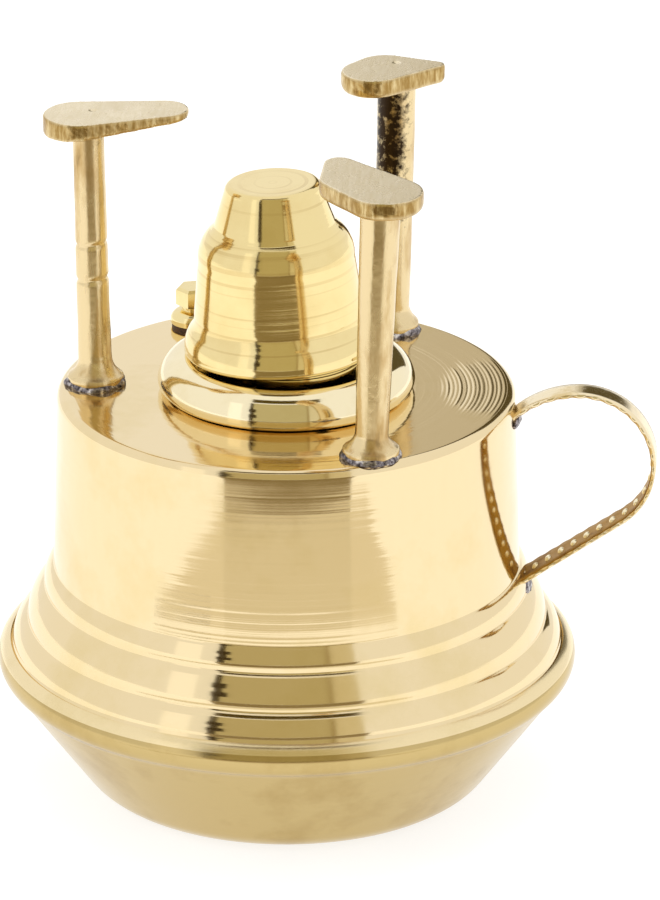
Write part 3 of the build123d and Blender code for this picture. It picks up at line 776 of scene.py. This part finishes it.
# --- filler plug --------------------------------------------------------------------------------
def filler_plug():
    """Screw plug: domed flange, short neck, hexagon head and a cut thread."""
    low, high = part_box("filler_plug")
    at = middle("filler_washer")
    seat = top_of("filler_washer")
    foot, top = low.z / MM, high.z / MM
    hex_tall, core, crest, pitch = 3.3, 1.55, 2.0, 1.0
    hex_foot = top - hex_tall
    flange, neck, neck_top = 4.1, 2.1, hex_foot + 0.2
    out = [(0.0, foot)] + line((0, foot), (core - 0.3, foot), 3)
    out += line((core - 0.3, foot), (core, foot + 0.3), 2)
    out += line((core, foot + 0.3), (core, seat), 10) + line((core, seat), (flange, seat), 6)
    out += line((flange, seat), (flange, seat + 1.0), 4)
    out += bow((flange, seat + 1.0), (3.5, seat + 1.9), (neck, seat + 2.4), 14)
    out += line(out[-1], (neck, neck_top), 4) + line((neck, neck_top), (0.0, neck_top), 3)
    bm = lathe(softened(out, 0.18, 30), 96, closed=False)
    # hexagon head with its corners turned off
    across, bevel, first = 2.8, 0.5, 16.9
    rings = []
    for rise, shrink in ((0.0, 0.18), (0.12, 0.0), (hex_tall - bevel, 0.0), (hex_tall, 0.42)):
        reach = (across - shrink) / math.cos(math.pi / 6)
        corners = [math.radians(first + 60 * k) for k in range(6)]
        rings.append([bm.verts.new((reach * math.cos(a) * MM, reach * math.sin(a) * MM,
                                    (hex_foot + rise) * MM)) for a in corners])
    for a, b in zip(rings, rings[1:]):
        for k in range(6):
            bm.faces.new((a[k], a[(k + 1) % 6], b[(k + 1) % 6], b[k]))
    bm.faces.new(rings[0][::-1])
    bm.faces.new(rings[-1])
    # the thread, one ridge wound up the shank
    turns, steps = 4.0, 24
    ridge = []
    for i in range(int(turns * steps) + 1):
        a = math.tau * i / steps
        z = foot + 0.7 + pitch * i / steps
        fade = min(1.0, i / 12, (turns * steps - i) / 12)
        tip = core - 0.1 + (crest - core + 0.1) * max(fade, 0.02)
        ridge.append([bm.verts.new((r * math.cos(a) * MM, r * math.sin(a) * MM, (z + h) * MM))
                      for r, h in ((core - 0.1, -0.42), (tip, -0.08), (tip, 0.08), (core - 0.1, 0.42))])
    for a, b in zip(ridge, ridge[1:]):
        for k in range(4):
            bm.faces.new((a[k], a[(k + 1) % 4], b[(k + 1) % 4], b[k]))
    bm.faces.new(ridge[0][::-1])
    bm.faces.new(ridge[-1])
    bmesh.ops.recalc_face_normals(bm, faces=bm.faces)
    bm.transform(Matrix.Translation(Vector((at.x, at.y, 0)) * MM))
    return bm


piece("filler_plug_turned", filler_plug(), FITTING_BRASS, "plug", "fitting_brass", "filler_plug", sharp=28)
# pieces whose CAD shape is already the finished one
as_drawn = {"wick_holder": FITTING_BRASS, "filler_bush": FITTING_BRASS, "filler_washer": LEATHER}
for node, finish in as_drawn.items():
    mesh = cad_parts[node].data
    if not mesh.materials:
        mesh.materials.append(finish)
    for i in range(len(mesh.materials)):
        mesh.materials[i] = finish


# --- studio --------------------------------------------------------------------------------------
def plain(name, code, strength):
    """A card of one even brightness, only ever seen in reflections."""
    material, tree = blank(name)
    glow = put(tree, "ShaderNodeEmission", None, {"Color": linear(code), "Strength": strength})
    put(tree, "ShaderNodeOutputMaterial", None, {"Surface": glow.outputs["Emission"]})
    return material


def studio_sheet(name, corners, material, mirrored_only=True):
    """A flat or bent sheet of the studio. Cards that only show in reflections hide from the lens."""
    mesh = bpy.data.meshes.new(name)
    faces = [tuple(range(4 * i, 4 * i + 4)) for i in range(len(corners) // 4)]
    mesh.from_pydata(corners, [], faces)
    mesh.materials.append(material)
    card = bpy.data.objects.new(name, mesh)
    bpy.context.scene.collection.objects.link(card)
    if mirrored_only:
        card.visible_camera = False
        card.visible_shadow = False
        card.visible_diffuse = False
    return card


VIEW_TURN = 5.5
VIEW_RISE = 22.46
VIEW_DISTANCE = 1.6
VIEW_HEIGHT = 0.045
LENS = 504.8
AIM_RIGHT, AIM_UP = 0.00752, 0.0146


def away(azimuth, elevation, distance):
    """A point of the studio, by its bearing from the camera's side of the object."""
    a, e = math.radians(azimuth + VIEW_TURN), math.radians(elevation)
    return (distance * math.sin(a) * math.cos(e), -distance * math.cos(a) * math.cos(e),
            VIEW_HEIGHT + distance * math.sin(e))


def mirrored(turn, tilt):
    """The way that a face of the tank mirrors towards the front view: its turn round, its tilt up."""
    f, b, e = math.radians(turn), math.radians(tilt), math.radians(VIEW_RISE)
    look = Vector((0, -math.cos(e), math.sin(e)))
    face = Vector((math.cos(b) * math.sin(f), -math.cos(b) * math.cos(f), math.sin(b)))
    way = 2 * face.dot(look) * face - look
    return Matrix.Rotation(math.radians(VIEW_TURN), 3, "Z") @ way


def curtain(name, left, right, low, high, distance, material):
    """A curved card that fills what the tank mirrors between two turns and two tilts."""
    def corner(turn, tilt):
        p = Vector((0, 0, VIEW_HEIGHT)) + mirrored(turn, tilt) * distance
        return (p.x, p.y, max(p.z, 0.002))

    corners, across, tall = [], 10, 14
    for i in range(across):
        a, b = left + (right - left) * i / across, left + (right - left) * (i + 1) / across
        for k in range(tall):
            c, d = low + (high - low) * k / tall, low + (high - low) * (k + 1) / tall
            corners += [corner(a, c), corner(b, c), corner(b, d), corner(a, d)]
    return studio_sheet(name, corners, material)


def floor_card(name, rows, material, height):
    """A card on the floor, cut so that the tank's wall mirrors it between the turns of each row.
    A row is the height on the wall with the left and right turns there."""
    def spot(z, turn):
        a = math.radians(turn + VIEW_TURN)
        start = Vector((40.0 * math.sin(a), -40.0 * math.cos(a), z)) * MM
        way = mirrored(turn, 1.3)
        p = start + way * (start.z / max(-way.z, 0.02))
        return (p.x, p.y, height)

    corners, across = [], 10
    for (z0, l0, r0), (z1, l1, r1) in zip(rows, rows[1:]):
        for i in range(across):
            p, q = i / across, (i + 1) / across
            corners += [spot(z0, l0 + (r0 - l0) * p), spot(z0, l0 + (r0 - l0) * q),
                        spot(z1, l1 + (r1 - l1) * q), spot(z1, l1 + (r1 - l1) * p)]
    return studio_sheet(name, corners, material)


def build_studio():
    size, low = 6.0, -0.0002
    paper, sheet = blank("light_table_floor")
    cloud = put(sheet, "ShaderNodeTexNoise", None, {"Scale": 700.0, "Detail": 2.0})
    white = put(sheet, "ShaderNodeValToRGB", {"stops": [(0.3, "A8A8A6"), (0.7, "ACACAB")]},
                {"Fac": cloud.outputs["Fac"]}).outputs["Color"]
    lit = put(sheet, "ShaderNodeBsdfPrincipled", None,
              {"Base Color": white, "Roughness": 0.9, "Specular IOR Level": 0.1,
               "Emission Color": linear("FFFFFF"), "Emission Strength": 0.76})
    put(sheet, "ShaderNodeOutputMaterial", None, {"Surface": lit.outputs["BSDF"]})
    studio_sheet("floor", [(-size, -size, low), (size, -size, low), (size, size, low), (-size, size, low)],
                 paper, mirrored_only=False)
    world = bpy.data.worlds.new("white_tent")
    bpy.context.scene.world = world
    world.use_nodes = True
    tree = world.node_tree
    tree.nodes.clear()
    sky = put(tree, "ShaderNodeBackground", None, {"Color": linear("FFFFFF"), "Strength": 1.0})
    put(tree, "ShaderNodeOutputWorld", None, {"Surface": sky.outputs["Background"]})

    # the dim room between the soft boxes, its dark ceiling, ragged dark edge and a paler strip
    curtain("room_behind_lens", -16, 16, 10.5, 46, 1.5, plain("dim_room", "C2B78E", 1.0))
    curtain("room_ceiling", -16, 16, 48, 55, 1.5, plain("dark_ceiling", "54461F", 1.0))
    curtain("soft_box_left", -27, -20.6, 11, 42, 1.5, plain("soft_box", "FFFFFF", 1.2))
    edge = plain("dark_edge", "40341C", 1.0)
    for count, (low, high, left, right) in enumerate(((10.5, 17, -16.6, -14.8), (17, 23, -16.9, -13.2),
                                                      (23, 28, -16.4, -14.4), (28, 34, -17.0, -13.6),
                                                      (34, 46, -16.6, -15.0))):
        curtain("room_edge_left_" + str(count), left, right, low, high, 1.47, edge)
    curtain("room_strip_right", 10, 16, 10.5, 46, 1.47, plain("pale_strip", "DCD2B2", 1.0))
    curtain("room_edge_right", 9.2, 10.2, 10.5, 46, 1.46, plain("thin_edge", "9C8A5C", 1.0))
    # the table in front, in shade between the boxes, with slanting ends
    floor_card("table_shade_wide", [(70.5, -16, 20), (64, -19, 22), (56, -25, 25), (49, -31, 27.5),
                                    (44.5, -34, 28)], plain("shade_pale", "F0E8D4", 1.0), 0.0004)
    floor_card("table_shade", [(70.5, -15.5, 16), (43.5, -15.5, 16)],
               plain("shade_mid", "E8E0CB", 1.0), 0.0007)
    floor_card("table_far", [(480, -17, 17), (70.5, -15.5, 16)], plain("shade_far", "8F7F5C", 1.0), 0.001)
    floor_card("table_line", [(44.5, -34, -19), (43.7, -34, -19)], plain("dark_line", "6A5228", 1.0), 0.0013)
    # dim corner of the room behind, right of the tank, that the flat top's far side mirrors
    back = [away(180 - t, 14, 2.2) for t in (0.6, 7)] + [away(180 - t, 34, 2.2) for t in (7, 0.6)]
    studio_sheet("room_corner", back, plain("dim_corner", "CFC8B8", 1.0))
    back = [away(180 - t, 8, 2.15) for t in (4, 30)] + [away(180 - t, 36, 2.15) for t in (30, 4)]
    studio_sheet("room_doorway", back, plain("dark_doorway", "5A5034", 1.0))

    def lamp(name, place, width, power):
        data = bpy.data.lights.new(name, "AREA")
        data.shape = "DISK"
        data.size = width
        data.energy = power
        made = bpy.data.objects.new(name, data)
        made.location = place
        made.rotation_euler = (Vector((0, 0, 0.05)) - Vector(place)).to_track_quat("-Z", "Y").to_euler()
        made.visible_glossy = False
        bpy.context.scene.collection.objects.link(made)

    lamp("lamp_overhead", (0.1, 0.2, 1.6), 1.2, 3.0)
    lamp("lamp_left", away(-75, 30, 1.4), 0.8, 2.0)


def build_camera():
    """Long lens from the front, a little to the right and above, aimed to frame the burner."""
    a, e = math.radians(VIEW_TURN), math.radians(VIEW_RISE)
    back = Vector((math.sin(a) * math.cos(e), -math.cos(a) * math.cos(e), math.sin(e)))
    right = Vector((math.cos(a), math.sin(a), 0))
    up = back.cross(right)
    data = bpy.data.cameras.new("camera")
    data.sensor_fit = "HORIZONTAL"
    data.sensor_width = 36.0
    data.lens = LENS
    data.clip_start = 0.05
    camera = bpy.data.objects.new("camera", data)
    camera.location = Vector((0, 0, VIEW_HEIGHT)) + back * VIEW_DISTANCE
    aim = Vector((0, 0, VIEW_HEIGHT)) + right * AIM_RIGHT + up * AIM_UP
    camera.rotation_euler = (camera.location - aim).to_track_quat("Z", "Y").to_euler()
    bpy.context.scene.collection.objects.link(camera)
    bpy.context.scene.camera = camera


build_studio()
build_camera()
bpy.context.scene.view_settings.view_transform = "Standard"
